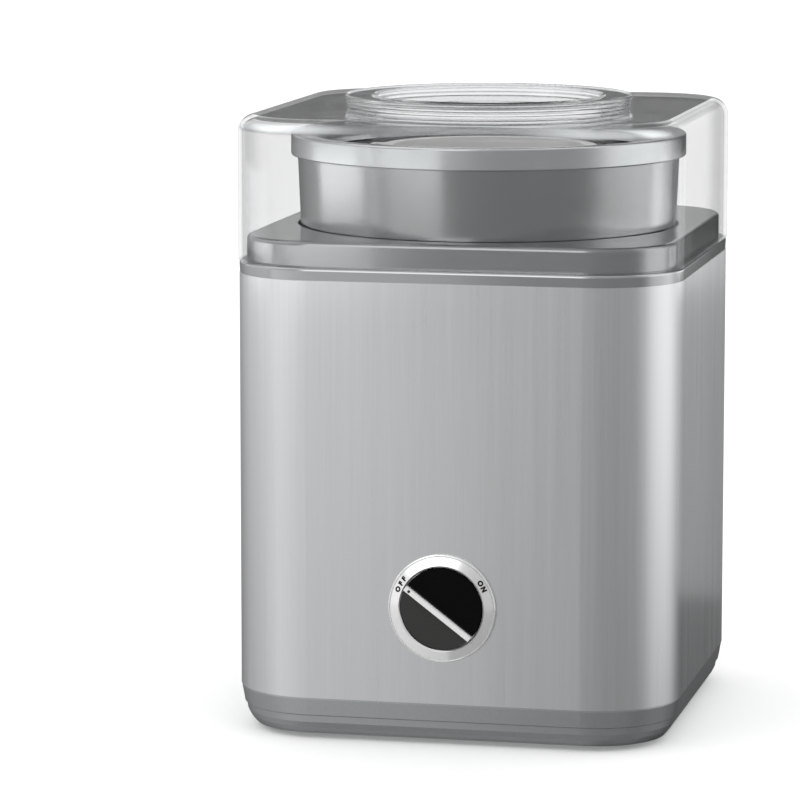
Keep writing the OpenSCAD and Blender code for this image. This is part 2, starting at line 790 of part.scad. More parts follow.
// Section of the base pan: tapering outside with a step, floor, wall and lip for the wrap
module pan_section() {
    r = corner_r;
    lip = r - lip_in;
    polygon(concat(
        [[0, 0]],
        [for (t = [0, 0.15, 0.35, 0.65, 1])
            [r - pan_step[0] - (base_taper - pan_step[0]) * pow(1 - t, 2), step_z * t]],
        [[r - pan_step[1], step_z + 0.5],
         [r - 0.3, base_h - 0.8],
         [r - 0.3, base_h],
         [lip, base_h],
         [lip, base_h + lip_h],
         [lip - lip_t, base_h + lip_h],
         [lip - lip_t, base_h - 2],
         [r - base_taper - shell_t, shell_t],
         [0, shell_t]]));
}

module base_pan() {
    floor_top = base_z + shell_t;
    color([0.5, 0.51, 0.52]) difference() {
        union() {
            translate([0, 0, base_z]) {
                around_square(body_w, corner_r) pan_section();
                middle_slab(body_w, corner_r, 0, shell_t);
            }
            at_each(corner_posts, base_z) cylinder(r = 6.5, h = post_split - base_z);
            // Ribs that stiffen each post
            for (p = corner_posts, a = [0, 90]) translate([p.x, p.y, base_z]) rotate(a)
                translate([-10, -1, 0]) cube([20, 2, 40]);
            gland_pad();
        }
        at_each(corner_posts, base_z - eps) cylinder(r = head_r + 0.8, h = post_split - 5 - base_z);
        at_each(corner_posts, base_z) cylinder(r = screw_r + slip, h = post_split);
        at_each(foot_spots, base_z - eps) cylinder(r = foot_r + slip, h = 1);
        at_each(foot_spots, base_z - eps) cylinder(r = 2.8, h = shell_t + 2 * eps);
        // Cooling slots under the fan
        for (i = [-4:4]) translate([motor_at.x + i * 6 - 1.5, motor_at.y - 16, base_z - eps])
            cube([3, 32, shell_t + 2 * eps]);
        translate([0, body_w / 2, gland_z]) rotate([90, 0, 0]) cylinder(r = gland_neck_r + slip, h = 20);
    }
}

// Flat pad inside and outside the rear wall that takes the cord gland
module gland_pad() {
    half = gland_flange_r + 1;
    bottom = base_z + 0.8;
    translate([-half, pad_face - pad_deep, bottom]) cube([2 * half, pad_deep, wrap_z - bottom - 0.3]);
}

module feet() {
    top = base_z + shell_t;
    color([0.12, 0.12, 0.12]) at_each(foot_spots, 0) {
        cylinder(r1 = foot_r - 0.8, r2 = foot_r, h = base_z + 1 - slip);
        cylinder(r = 2.6, h = top + slip);
        translate([0, 0, top + slip]) cylinder(r1 = 4.2, r2 = 2.2, h = 3);
    }
}

module steel_wrap() {
    color([0.74, 0.75, 0.76]) difference() {
        body_plate(0, wrap_z, wrap_h);
        body_plate(wrap_t, wrap_z - eps, wrap_h + 2 * eps);
        translate([-0.25, body_w / 2 - 5, wrap_z - eps]) cube([0.5, 10, wrap_h + 2 * eps]);
        on_front() translate([0, 0, -5]) cylinder(r = cup_r + cup_wall + slip, h = 10);
    }
}

module seam_strip() {
    low = wrap_z + lip_h + 1;
    color([0.6, 0.61, 0.62]) translate([-9, body_w / 2 - 2 * wrap_t, low])
        cube([18, wrap_t, wrap_h - 2 * lip_h - 2]);
}

// Section of the deck: lip inside the wrap, trim band, ledge under the lid and rounded plinth
module deck_section() {
    r = corner_r;
    lip = r - lip_in;
    trim_edge = 1.5;
    plinth_edge = 2;
    plinth_x = r - plinth_in;
    top = trim_h + plinth_h;
    polygon(concat(
        [[lip - lip_t, -lip_h], [lip, -lip_h], [lip, 0], [r - 0.2, 0]],
        arc([r - trim_edge, trim_h - trim_edge], trim_edge, 0, 90, 4),
        [[plinth_x, trim_h]],
        arc([plinth_x - plinth_edge, top - plinth_edge], plinth_edge, 0, 90, 4),
        [[0, top], [0, top - shell_t],
         [plinth_x - shell_t, top - shell_t],
         [plinth_x - shell_t, trim_h - shell_t],
         [lip - lip_t, trim_h - shell_t]]));
}

module deck() {
    hub_hole = shaft_r + bush_wall + gearbox_t + slip;
    dam_r = platform_r - 5;
    color([0.6, 0.61, 0.62]) difference() {
        union() {
            difference() {
                translate([0, 0, deck_z]) {
                    around_square(body_w, corner_r) deck_section();
                    middle_slab(body_w, corner_r, trim_h + plinth_h - shell_t, shell_t);
                }
                translate([0, 0, deck_z]) cylinder(r = well_top_r + well_t / 2, h = plinth_z);
            }
            translate([0, 0, well_z]) difference() {
                cylinder(r1 = well_foot_r + well_t, r2 = well_top_r + well_t, h = plinth_z - well_z);
                translate([0, 0, -eps])
                    cylinder(r1 = well_foot_r, r2 = well_top_r, h = plinth_z - well_z + 2 * eps);
            }
            translate([0, 0, well_z - floor_t]) cylinder(r = well_foot_r + well_t, h = floor_t);
            translate([0, 0, well_z - eps]) tube(dam_r, dam_r - 1.8, platform_rise - platform_t - 2);
            at_each(gearbox_lugs, gearbox_top) cylinder(r = lug_r, h = boss_drop + floor_t);
            at_each(corner_posts, post_split) cylinder(r = 5.5, h = plinth_z - shell_t - post_split);
            // Webs that tie each post to the well
            for (p = corner_posts) rotate(atan2(p.y, p.x)) translate([well_top_r, -1, deck_z - 30])
                cube([norm(p) - well_top_r - 3, 2, plinth_z - shell_t - deck_z + 30]);
        }
        translate([0, 0, well_z - floor_t - eps]) cylinder(r = hub_hole, h = floor_t + 2 * eps);
        at_each(gearbox_lugs, gearbox_top - eps) cylinder(r = screw_r + 0.05, h = screw_bite + 1);
        at_each(corner_posts, post_split - eps) cylinder(r = screw_r + 0.05, h = 18);
    }
}

module housing_screws() {
    color([0.7, 0.7, 0.7]) at_each(corner_posts, post_split - 5) screw_up(20);
}

module shaft_seal() {
    inner = shaft_r + running;
    color([0.12, 0.12, 0.12]) translate([0, 0, seal_z]) rotate_extrude()
        polygon([[inner, 0], [shaft_r + bush_wall + gearbox_t, 0], [inner + 1.5, seal_h], [inner, seal_h]]);
}

// ---------- gearbox ----------

// Outline of the gearbox, grown by g
module gearbox_outline(g) {
    hull() {
        circle(output_room + g, $fn = 64);
        translate(second_at) circle(idler_room + g, $fn = 64);
        translate(first_at) circle(idler_room + g, $fn = 64);
        translate(motor_at) circle(motor_room + g, $fn = 32);
    }
}

module gearbox_tray() {
    depth = tray_top - gear_bottom;
    color([0.22, 0.23, 0.25]) difference() {
        union() {
            translate([0, 0, gear_bottom]) linear_extrude(depth) gearbox_outline(gearbox_t);
            at_each(gearbox_lugs, tray_top - lug_h) cylinder(r = lug_r, h = lug_h);
            // Ear that carries the motor's outer screw
            translate([motor_at.x, motor_at.y - ear_r, gear_bottom]) cube([bolt_x, 2 * ear_r, gearbox_t]);
            translate([motor_at.x + bolt_x, motor_at.y, gear_bottom]) cylinder(r = ear_r, h = gearbox_t);
        }
        difference() {
            translate([0, 0, gear_bottom + gearbox_t]) linear_extrude(depth) gearbox_outline(0);
            translate([0, 0, gear_bottom]) cylinder(r = shaft_r + bush_wall + 2, h = bush_h);
            translate([first_at.x, first_at.y, gear_bottom])
                cylinder(r = pin_r + 2, h = gearbox_t + gear_gap - 0.4);
            translate([second_at.x, second_at.y, gear_bottom])
                cylinder(r = pin_r + 2, h = gearbox_t + 2 * gear_gap + wheel_t - 0.4);
        }
        at_each(gearbox_lugs, tray_top - lug_h - 1) cylinder(r = screw_r + slip, h = lug_h + 2);
        translate([0, 0, gear_bottom - eps]) cylinder(r = shaft_r + bush_wall + slip, h = bush_h + 1);
        at_each([first_at, second_at], gear_bottom + 1) cylinder(r = pin_r + 0.02, h = 20);
        translate([motor_at.x, motor_at.y, gear_bottom - eps])
            cylinder(r = motor_room, h = gearbox_t + 2 * eps);
        for (s = [-1, 1]) translate([motor_at.x + s * bolt_x, motor_at.y, gear_bottom - eps])
            cylinder(r = screw_r + 0.05, h = gearbox_t + 2 * eps);
    }
}

module gearbox_cover() {
    color([0.22, 0.23, 0.25]) difference() {
        union() {
            translate([0, 0, tray_top]) linear_extrude(gearbox_t) gearbox_outline(gearbox_t);
            at_each(gearbox_lugs, tray_top) cylinder(r = lug_r, h = gearbox_t);
            translate([0, 0, tray_top])
                cylinder(r = shaft_r + bush_wall + gearbox_t, h = seal_z - tray_top);
            translate([first_at.x, first_at.y, level_2 + wheel_t + 0.4])
                cylinder(r = pin_r + 2, h = tray_top - level_2 - wheel_t);
            translate([second_at.x, second_at.y, level_3 + output_t + 0.4])
                cylinder(r = pin_r + 2, h = tray_top - level_3 - output_t);
        }
        translate([0, 0, tray_top - eps]) cylinder(r = shaft_r + bush_wall + slip, h = seal_z);
        at_each([first_at, second_at], gear_bottom)
            cylinder(r = pin_r + 0.02, h = gearbox_top - 1 - gear_bottom);
        at_each(gearbox_lugs, tray_top - eps) cylinder(r = screw_r + slip, h = gearbox_t + 1);
    }
}

module gearbox_screws() {
    color([0.7, 0.7, 0.7]) at_each(gearbox_lugs, tray_top - lug_h) screw_up(lug_h + gearbox_t + screw_bite);
}

module gear_pins() {
    color([0.72, 0.72, 0.74]) at_each([first_at, second_at], gear_bottom + 1)
        cylinder(r = pin_r, h = gearbox_top - 1 - gear_bottom - 1.1);
}

module output_bushes() {
    color([0.72, 0.55, 0.32]) {
        translate([0, 0, gear_bottom]) tube(shaft_r + bush_wall, shaft_r + running, bush_h);
        translate([0, 0, tray_top]) tube(shaft_r + bush_wall, shaft_r + running, seal_z - tray_top);
    }
}

// ---------- motor: fixed pieces ----------

module motor_stator() {
    leg_back = leg_y - leg_w;
    color([0.4, 0.41, 0.43]) translate([motor_at.x, motor_at.y, stack_z]) difference() {
        translate([-stator_w / 2, leg_back, 0]) cube([stator_w, pole_half - leg_back, stack_h]);
        translate([0, 0, -eps]) cylinder(r = rotor_r + air_gap, h = stack_h + 2 * eps);
        translate([-window.x / 2, leg_y, -eps]) cube([window.x, window.y, stack_h + 2 * eps]);
        for (s = [-1, 1]) translate([s * bolt_x, 0, -eps])
            cylinder(r = screw_r + slip, h = stack_h + 2 * eps);
        // Slots of the two shading rings
        for (a = [45, 225]) rotate(a) translate([rotor_r, -0.6, -eps]) cube([8, 1.2, stack_h + 2 * eps]);
    }
}

// Rectangular sleeve round the stator's leg
module leg_sleeve(outer, inner, half) {
    translate([motor_at.x - half, motor_at.y, stack_z]) difference() {
        translate([0, leg_y - leg_w - outer, -outer])
            cube([2 * half, leg_w + 2 * outer, stack_h + 2 * outer]);
        translate([-eps, leg_y - leg_w - inner, -inner])
            cube([2 * half + 2 * eps, leg_w + 2 * inner, stack_h + 2 * inner]);
    }
}

module coil_bobbin() {
    half = window.x / 2 - 0.5;
    color([0.9, 0.9, 0.88]) {
        leg_sleeve(bobbin_t, 0.2, half);
        for (s = [-1, 1]) translate([s * (half - bobbin_t / 2), 0, 0])
            leg_sleeve(coil_wall + 1, 0.2, bobbin_t / 2);
    }
}

module motor_coil() {
    color([0.72, 0.38, 0.2]) leg_sleeve(coil_wall, bobbin_t + 0.1, window.x / 2 - 0.5 - bobbin_t - 0.1);
}

// Strip across the rotor with a boss for its bush
module bearing_bracket() {
    strip = 14;
    boss_r = 9;
    difference() {
        union() {
            translate([-stator_w / 2 + 1, -strip / 2, 0]) cube([stator_w - 2, strip, bracket_t]);
            cylinder(r = boss_r, h = bracket_t);
        }
        translate([0, 0, -eps]) cylinder(r = motor_shaft_r + bush_wall + slip, h = bracket_t + 2 * eps);
        for (s = [-1, 1]) translate([s * bolt_x, 0, -eps])
            cylinder(r = screw_r + slip, h = bracket_t + 2 * eps);
    }
}

module upper_bracket() {
    color([0.66, 0.67, 0.69]) translate([motor_at.x, motor_at.y, upper_bracket_z]) bearing_bracket();
}

module lower_bracket() {
    color([0.66, 0.67, 0.69]) translate([motor_at.x, motor_at.y, lower_bracket_z]) bearing_bracket();
}

module motor_bushes() {
    color([0.72, 0.55, 0.32]) for (z = [lower_bracket_z, upper_bracket_z])
        translate([motor_at.x, motor_at.y, z])
            tube(motor_shaft_r + bush_wall, motor_shaft_r + running, bracket_t);
}

module motor_spacers() {
    color([0.78, 0.66, 0.38]) for (z = [lower_bracket_z + bracket_t, stack_top], s = [-1, 1])
        translate([motor_at.x + s * bolt_x, motor_at.y, z]) tube(screw_r + 2, screw_r + slip, spacer_h);
}

module motor_screws() {
    reach = gear_bottom + gearbox_t - lower_bracket_z;
    color([0.7, 0.7, 0.7]) for (s = [-1, 1])
        translate([motor_at.x + s * bolt_x, motor_at.y, lower_bracket_z]) screw_up(reach);
}

// ---------- dial bezel and switch ----------

module dial_bezel() {
    outer = cup_r + cup_wall;
    color([0.85, 0.86, 0.87]) on_front() difference() {
        rotate_extrude() polygon(concat(
            [[neck_r + slip, cup_floor], [outer, cup_floor], [outer, 0], [bezel_r, 0]],
            arc([bezel_r - bezel_lip, 0.9], bezel_lip, 0, 90, 3),
            [[bezel_r - bezel_lip - 0.1, 1], [bezel_r - bezel_lip - 0.4, 1],
             [bezel_r - bezel_lip - 0.5, 1.4],
             [cup_r + 0.7, bezel_h], [cup_r, bezel_h - 0.7],
             [cup_r, cup_floor + cup_floor_t], [neck_r + slip, cup_floor + cup_floor_t]]));
    }
}

// Hat-shaped bracket that clamps the bezel and the switch to the back of the wrap
module switch_bracket() {
    half = cup_r + cup_wall + 3;
    high = 44;
    leg = -cup_floor - wrap_t;
    color([0.66, 0.67, 0.69]) on_front() difference() {
        union() {
            translate([-half, -high / 2, cup_floor - bracket_sheet]) cube([2 * half, high, bracket_sheet]);
            for (s = [-1, 1]) {
                translate([s * half - (s > 0 ? bracket_sheet : 0), -high / 2, cup_floor - bracket_sheet])
                    cube([bracket_sheet, high, leg + bracket_sheet]);
                translate([s > 0 ? half - eps : -half - 9 + eps, -high / 2, -wrap_t - bracket_sheet])
                    cube([9, high, bracket_sheet]);
            }
        }
        translate([0, 0, cup_floor - 2 * bracket_sheet]) cylinder(r = neck_r + slip, h = 4 * bracket_sheet);
    }
}

module switch_body() {
    back = cup_floor - bracket_sheet - switch_deep;
    color([0.15, 0.15, 0.16]) on_front() difference() {
        union() {
            translate([-switch_w / 2, -switch_w / 2, back]) cube([switch_w, switch_w, switch_deep]);
            translate([0, 0, back + switch_deep - eps])
                cylinder(r = neck_r, h = neck_end - cup_floor + bracket_sheet);
            for (x = [-9, 0, 9]) translate([x - 2.4, -8, back - 7]) cube([4.8, 0.8, 7 + eps]);
        }
        translate([0, 0, back + 4]) cylinder(r = spindle_r, h = switch_deep + 20);
    }
}

module switch_nut() {
    color([0.7, 0.7, 0.72]) on_front() translate([0, 0, cup_floor + cup_floor_t]) difference() {
        cylinder(r = 8, h = 2.2, $fn = 6);
        translate([0, 0, -eps]) cylinder(r = neck_r + 0.05, h = 3);
    }
}

// ---------- cord inlet ----------

module cord_gland() {
    inside = pad_deep + 2;
    color([0.1, 0.1, 0.1]) translate([0, pad_face, gland_z]) rotate([90, 0, 0]) difference() {
        union() {
            translate([0, 0, -gland_reach - 0.5])
                cylinder(r1 = gland_flange_r - 1, r2 = gland_flange_r, h = gland_reach + 0.5);
            cylinder(r = gland_neck_r, h = inside);
            translate([0, 0, pad_deep + slip])
                cylinder(r1 = gland_neck_r + 1, r2 = gland_neck_r - 0.4, h = 2);
        }
        translate([0, 0, -gland_reach - 1]) cylinder(r = cord_hole_r, h = inside + gland_reach + 3);
    }
}

lid();
spout_ring();
mixing_paddle();
bowl_liner();
bowl_shell();
bowl_rim();
bowl_gasket();
bowl_coolant();
bowl_socket();
drive_coupling();
coupling_screw();
output_shaft();
output_gear();
output_clip();
second_gear();
second_bush();
first_gear();
first_bush();
motor_rotor();
motor_shaft();
motor_pinion();
cooling_fan();
dial();
dial_grip();
switch_spindle();
base_pan();
feet();
steel_wrap();
seam_strip();
deck();
housing_screws();
shaft_seal();
gearbox_tray();
gearbox_cover();
gearbox_screws();
gear_pins();
output_bushes();
motor_stator();
motor_coil();
coil_bobbin();
upper_bracket();
lower_bracket();
motor_bushes();
motor_spacers();
motor_screws();
dial_bezel();
switch_bracket();
switch_body();
switch_nut();
cord_gland();
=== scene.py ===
# %% [markdown]
# # A countertop ice cream maker, dressed in Blender
#
# The machine is a square body in brushed steel. A silver deck on top carries a round freezer
# bowl, and a clear lid with an open spout stands over it. A dial on the front switches it on.
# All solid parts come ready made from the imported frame, in metres, each in its place. This
# script gives them their finishes, adds the two raised words on the dial's ring, and sets up the
# light. Every finish is made of nodes alone, so it can be read and changed here.

# %% Load the frame
import math

import bpy
from mathutils import Matrix, Vector


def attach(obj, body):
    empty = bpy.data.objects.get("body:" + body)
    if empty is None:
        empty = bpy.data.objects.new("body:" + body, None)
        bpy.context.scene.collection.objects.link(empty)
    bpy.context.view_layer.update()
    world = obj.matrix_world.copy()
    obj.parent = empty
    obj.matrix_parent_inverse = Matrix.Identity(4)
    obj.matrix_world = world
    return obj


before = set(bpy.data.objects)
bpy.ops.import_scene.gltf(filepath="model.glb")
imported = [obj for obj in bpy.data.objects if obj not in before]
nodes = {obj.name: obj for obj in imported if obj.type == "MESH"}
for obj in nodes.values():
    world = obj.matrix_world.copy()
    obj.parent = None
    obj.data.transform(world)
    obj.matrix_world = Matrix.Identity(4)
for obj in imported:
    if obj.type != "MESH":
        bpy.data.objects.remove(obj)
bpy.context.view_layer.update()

# %% [markdown]
# ## The camera
#
# The camera stands a little to the right of the front and a little above it, two metres away.
# A long lens at that distance keeps the upright edges almost parallel. The target is a point
# on the machine's axis at half its height, and a small extra turn puts the machine to the
# right of the frame's middle. Location and rotation are worked out from those few angles, so
# each can be changed on its own.

# %% Camera
TARGET = Vector((0, 0, 0.1425))
AZIMUTH, ELEVATION, DISTANCE = math.radians(11.414), math.radians(8.395), 2.0515
TURN, TILT = math.radians(1.155), math.radians(-0.016)
LENS, SENSOR = 198.07, 36


def backwards(azimuth, elevation):
    """Unit vector from the machine towards a camera at these angles."""
    flat = Vector((math.sin(azimuth), -math.cos(azimuth), 0)) * math.cos(elevation)
    return flat + Vector((0, 0, math.sin(elevation)))


camera = bpy.data.objects.new("camera", bpy.data.cameras.new("camera"))
bpy.context.scene.collection.objects.link(camera)
camera.location = TARGET + backwards(AZIMUTH, ELEVATION) * DISTANCE
look = -backwards(AZIMUTH + TURN, ELEVATION + TILT)
camera.rotation_euler = look.to_track_quat("-Z", "Y").to_euler()
camera.data.lens = LENS
camera.data.sensor_width = SENSOR
bpy.context.scene.camera = camera
bpy.context.scene.view_settings.view_transform = "Standard"
print("camera at", [round(c, 3) for c in camera.location])

# %% [markdown]
# ## A small language for materials
#
# Node trees are slow to write by hand. Two small classes make them read like arithmetic. A
# Value wraps a node's output, and adding or multiplying Values adds Math nodes. A Finish owns
# one material, and its node method adds any other node: settings first, then what its sockets
# are fed. A plain number stays a number on the socket.

# %% Material helpers
class Value:
    """A number that changes over a surface. Arithmetic on it adds Math nodes."""

    def __init__(self, finish, socket):
        self.finish = finish
        self.socket = socket

    def maths(self, operation, first, second):
        return self.finish.node("ShaderNodeMath", {"operation": operation}, {0: first, 1: second})

    def __add__(self, other):
        return self.maths("ADD", self, other)

    def __radd__(self, other):
        return self.maths("ADD", other, self)

    def __sub__(self, other):
        return self.maths("SUBTRACT", self, other)

    def __rsub__(self, other):
        return self.maths("SUBTRACT", other, self)

    def __mul__(self, other):
        return self.maths("MULTIPLY", self, other)

    def __rmul__(self, other):
        return self.maths("MULTIPLY", other, self)


class Finish:
    """One material, with its Principled shader ready."""

    def __init__(self, name, **constants):
        self.material = bpy.data.materials.new(name)
        self.material.use_nodes = True
        self.tree = self.material.node_tree
        self.shader = self.tree.nodes["Principled BSDF"]
        for socket, value in constants.items():
            self.shader.inputs[socket.replace("_", " ")].default_value = value

    def node(self, kind, settings=None, sockets=None, out=0):
        made = self.tree.nodes.new(kind)
        for name, value in (settings or {}).items():
            if name == "stops":
                self.fill_ramp(made.color_ramp, value)
            else:
                setattr(made, name, value)
        for name, value in (sockets or {}).items():
            self.feed(made.inputs[name], value)
        return Value(self, made.outputs[out])

    def feed(self, socket, value):
        if isinstance(value, Value):
            self.tree.links.new(value.socket, socket)
        else:
            socket.default_value = value

    def fill_ramp(self, ramp, stops):
        while len(ramp.elements) < len(stops):
            ramp.elements.new(0.5)
        for element, (place, colour) in zip(ramp.elements, stops):
            element.position = place
            element.color = colour

    def set(self, socket, value):
        self.feed(self.shader.inputs[socket], value)

    def place(self, scale=(1, 1, 1), move=(0, 0, 0)):
        """Object coordinates, stretched and moved."""
        here = self.node("ShaderNodeTexCoord", out="Object")
        return self.node("ShaderNodeMapping", None,
                         {"Vector": here, "Scale": scale, "Location": move})

    def noise(self, vector, scale=1.0, detail=2.0, roughness=0.5):
        return self.node("ShaderNodeTexNoise", None, {"Vector": vector, "Scale": scale,
                                                      "Detail": detail, "Roughness": roughness})

    def axis(self, vector, which):
        """One part of a vector: 0 is X, 1 is Y and 2 is Z."""
        return self.node("ShaderNodeSeparateXYZ", None, {0: vector}, out=which)

    def ramp(self, value, start, end, low=0.0, high=1.0, kind="LINEAR"):
        """From low at the start to high at the end, and level outside them."""
        return self.node("ShaderNodeMapRange", {"interpolation_type": kind},
                         {"Value": value, 1: start, 2: end, 3: low, 4: high})

    def at_most_one(self, value):
        return self.node("ShaderNodeMath", {"operation": "MINIMUM"}, {0: value, 1: 1.0})

    def blend(self, amount, first, second):
        """Colour between first and second."""
        return self.node("ShaderNodeMix", {"data_type": "RGBA"},
                         {0: amount, 6: first, 7: second}, out=2)

    def let_through(self, kind, tint=1.0, share=0.0):
        """Rays of one kind pass straight through the surface, and a share of all the others."""
        paths = self.at_most_one(self.node("ShaderNodeLightPath", out=kind) + share)
        clear = self.node("ShaderNodeBsdfTransparent", None, {"Color": grey(tint)})
        mix = self.node("ShaderNodeMixShader", None,
                        {0: paths, 1: Value(self, self.shader.outputs[0]), 2: clear})
        self.tree.links.new(mix.socket, self.tree.nodes["Material Output"].inputs["Surface"])

    def bump(self, height, distance, strength=1.0):
        self.set("Normal", self.node("ShaderNodeBump", None, {"Height": height,
                                                              "Distance": distance,
                                                              "Strength": strength}))


def rgb(red, green, blue):
    return (red, green, blue, 1.0)


def grey(level, warmth=0.0):
    """Near-neutral colour: warmth above 0 leans to orange, below 0 to a cool cyan."""
    return rgb(level * (1 + warmth), level, level * (1 - 0.4 * warmth))


def dress(finish, *names):
    """Gives the named CAD nodes a finish."""
    for name in names:
        mesh = nodes[name].data
        mesh.materials.clear()
        mesh.materials.append(finish.material)
    print(finish.material.name, "on", ", ".join(names))


# %% [markdown]
# ## Brushed steel
#
# The wrap is stainless sheet brushed from top to bottom. Brushing leaves fine upright
# scratches, which spread a reflection sideways. It could be painted as a texture, but noise
# that is stretched along Z gives the same streaks at any size and on every side. Two layers are
# used: wide faint bands and fine lines. Both vary the colour and the roughness a little, the
# lines alone make the bump, and the shader's own anisotropy spreads the highlights.

# %% Brushed steel
brushed = Finish("brushed_steel", Metallic=1.0, Anisotropic=0.55, IOR=2.5)
bands = brushed.noise(brushed.place((260, 260, 5)), 1.0, 3.0, 0.6)
lines = brushed.noise(brushed.place((1400, 1400, 14)), 1.0, 4.0, 0.65)
streaks = 0.55 * bands + 0.45 * lines
brushed.set("Base Color", brushed.blend(streaks, grey(0.615, -0.028), grey(0.80, -0.016)))
brushed.set("Roughness", 0.22 + 0.14 * streaks)
brushed.bump(lines, 0.00002, 0.5)
dress(brushed, "steel_wrap")

# %% [markdown]
# ## Satin silver
#
# The deck is moulded plastic with a metallic coat, and the bowl is pressed aluminium. Both look
# like satin metal: smooth, with broad soft reflections. A metallic shader with a low roughness
# does it. Slow noise on the roughness breaks up the reflections, and a very fine noise in the
# bump stands for the flakes in the coat. The deck's plinth, under the lid, is painted darker than
# the trim below it: painted shade. So the deck's colour changes at one height.

# %% Satin silver
# Where the trim ends and the plinth's painted shade starts, just under the ledge, and over what
# height the colour changes
TRIM_TOP, STEP_BLUR = 0.2146, 0.0004


def satin_metal(name, low, high, roughness, flakes, shaded_above=None):
    """Satin metal. Above the height given in its last argument it is painted darker as painted
    shade, and below it lighter.
    """
    made = Finish(name, Metallic=1.0, IOR=1.8)
    cloud = made.noise(made.place(), 14.0, 3.0)
    fleck = made.noise(made.place(), 1800.0, 1.0)
    tone = 0.7 * cloud + 0.3 * fleck
    if shaded_above:
        level = made.axis(made.place(), 2)
        # Painted shade: darker above the height, lighter below it
        tone = 0.3 * tone + made.ramp(level, shaded_above, shaded_above + STEP_BLUR, 0.7, 0.0)
    made.set("Base Color", made.blend(tone, low, high))
    made.set("Roughness", roughness + 0.08 * cloud)
    made.bump(fleck, flakes, 0.12)
    return made


silver_coat = satin_metal("silver_coat", grey(0.36, -0.024), grey(0.54, -0.024), 0.14, 0.000003,
                          TRIM_TOP)
wall_metal = satin_metal("bowl_wall", grey(0.39, -0.020), grey(0.45, -0.020), 0.17, 0.000002)
rim_metal = satin_metal("bowl_rim_metal", grey(0.59, -0.026), grey(0.67, -0.026), 0.20, 0.000002)
dress(silver_coat, "deck")
dress(wall_metal, "bowl_shell", "bowl_liner")
dress(rim_metal, "bowl_rim")

# %% [markdown]
# ## Grey base
#
# The band under the steel is grey plastic with a fine moulded texture and a soft sheen.

# %% Grey base
base_grey = Finish("base_grey", Metallic=0.85, IOR=1.5)
mottle = base_grey.noise(base_grey.place(), 900.0, 2.0)
base_grey.set("Base Color", base_grey.blend(mottle, grey(0.40, -0.034), grey(0.47, -0.034)))
base_grey.set("Roughness", 0.27 + 0.10 * mottle)
base_grey.bump(mottle, 0.00003, 0.4)
dress(base_grey, "base_pan")

# %% [markdown]
# ## Clear lid
#
# The lid is thin, so light goes through its walls almost unbent. Its shader is a mirror that is
# mostly see-through: Alpha is the share that is reflected. Real plastic reflects more of what
# meets it at a grazing angle. Alpha therefore rises where a surface turns away from the eye, and
# most of all on the flat top. The level top and the rounded front edge also get a lighter mirror
# colour, which is painted reflection, and the front edge gets a larger share, fainter near the
# middle, which is a painted highlight.
# The spout ring is thick, and light does bend in it. It is a glass shader with an index of 1.40,
# a little under acrylic's 1.49. Its collar, which reaches down under the lid's top, hardly
# shows: nine tenths of all rays go straight through it.

# %% Clear lid
# Shares of the light that are reflected: by every wall, with what a slant, a corner and an edge
# add to it, then by the top, with what is taken off where it is level, and by the front edge as a
# painted highlight
WALL, SLANT, CORNER, EDGE = 0.042, 0.055, 0.13, 0.45
TOP, LEVEL_LESS, FRONT_EDGE_HIGHLIGHT = 0.80, 0.25, 0.58
# Mirror colours: dark on the walls, light where the top and the front edge get painted reflection
WALL_COLOUR, TOP_SHEEN_COLOUR = rgb(0.155, 0.163, 0.168), rgb(0.84, 0.865, 0.88)
# The front edge's painted highlight is faint up to one distance from the middle and full from
# the other on
FAINT, FAINT_TO, FULL_FROM = 0.10, 0.02, 0.065
# The ring's collar starts below this height, just under the lid's top
COLLAR_TOP, COLLAR_BLUR = 0.278, 0.0005


def clear_plastic(name, wave):
    """Thin clear sheet: what isn't reflected goes straight through."""
    made = Finish(name, Metallic=1.0, IOR=1.49)
    waves = made.noise(made.place(), 30.0, 1.0)
    made.set("Roughness", 0.03 + 0.03 * waves)
    made.bump(waves, 0.0002, wave)

    def rises(value, start, end):
        return made.ramp(value, start, end, kind="SMOOTHSTEP")

    facing = made.node("ShaderNodeLayerWeight", None, {"Blend": 0.5}, out="Facing")
    edge = made.node("ShaderNodeMath", {"operation": "POWER"}, {0: facing, 1: 14.0})
    normal = made.node("ShaderNodeNewGeometry", out="Normal")
    upright, forwards = made.axis(normal, 2), -1.0 * made.axis(normal, 1)
    aside = made.node("ShaderNodeMath", {"operation": "ABSOLUTE"}, {0: made.axis(made.place(), 0)})
    flat = rises(upright, 0.55, 0.93)
    level_top = rises(upright, 0.93, 0.995)
    # The rounded front edge faces forwards and half upwards: the mask of its painted highlight
    edge_highlight = rises(upright, 0.12, 0.40) * (1.0 - rises(upright, 0.60, 0.88))
    edge_highlight = edge_highlight * rises(forwards, 0.20, 0.60)
    edge_highlight = edge_highlight * (FAINT + (1.0 - FAINT) * rises(aside, FAINT_TO, FULL_FROM))
    # The level top and the front edge get the lighter mirror colour: painted reflection
    tone = 0.8 * level_top + 0.8 * edge_highlight + 0.2 * waves
    made.set("Base Color", made.blend(tone, WALL_COLOUR, TOP_SHEEN_COLOUR))
    corner = rises(facing, 0.30, 0.55) * (1.0 - rises(facing, 0.70, 0.80))
    glaze = WALL + SLANT * rises(facing, 0.30, 0.65) + CORNER * corner + EDGE * edge
    skin = rises(facing, 0.78, 0.92) * flat * (TOP - LEVEL_LESS * level_top)
    # The front edge's share is a painted highlight
    made.set("Alpha", glaze + skin + FRONT_EDGE_HIGHLIGHT * edge_highlight)
    return made


